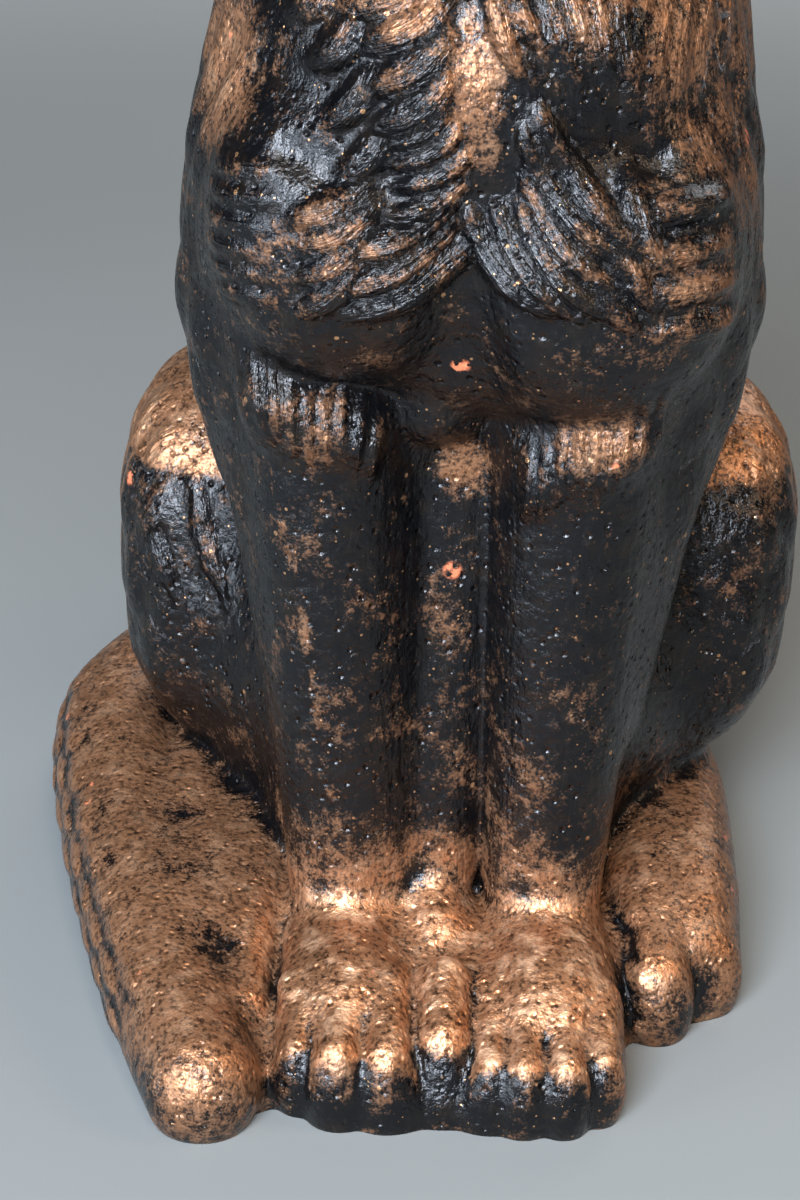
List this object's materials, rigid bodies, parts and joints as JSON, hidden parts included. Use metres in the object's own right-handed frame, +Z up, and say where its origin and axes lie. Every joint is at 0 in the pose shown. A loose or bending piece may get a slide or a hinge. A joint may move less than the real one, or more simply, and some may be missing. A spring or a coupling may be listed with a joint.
{
  "type": "cat doorstop",
  "caption": "Cast iron doorstop shaped as a seated long-haired cat, tail round one side, flat underneath so its own weight holds a door.",
  "frame": {"origin": "on the flat underside, in the middle between the front legs' two sides, 68 mm behind the tail's tip", "axes": "+Z up from the floor to the ear tips, -Y the way the cat faces, +X to the right as one faces the cat"},
  "size_m": [0.1125, 0.1295, 0.2221],
  "materials": {
    "bronzed_iron": "glossy black enamel over iron, rubbed with copper bronze paint on the high places, small rust specks"
  },
  "bodies": {
    "root": {"cat": "bronzed_iron"}
  },
  "joints": []
}
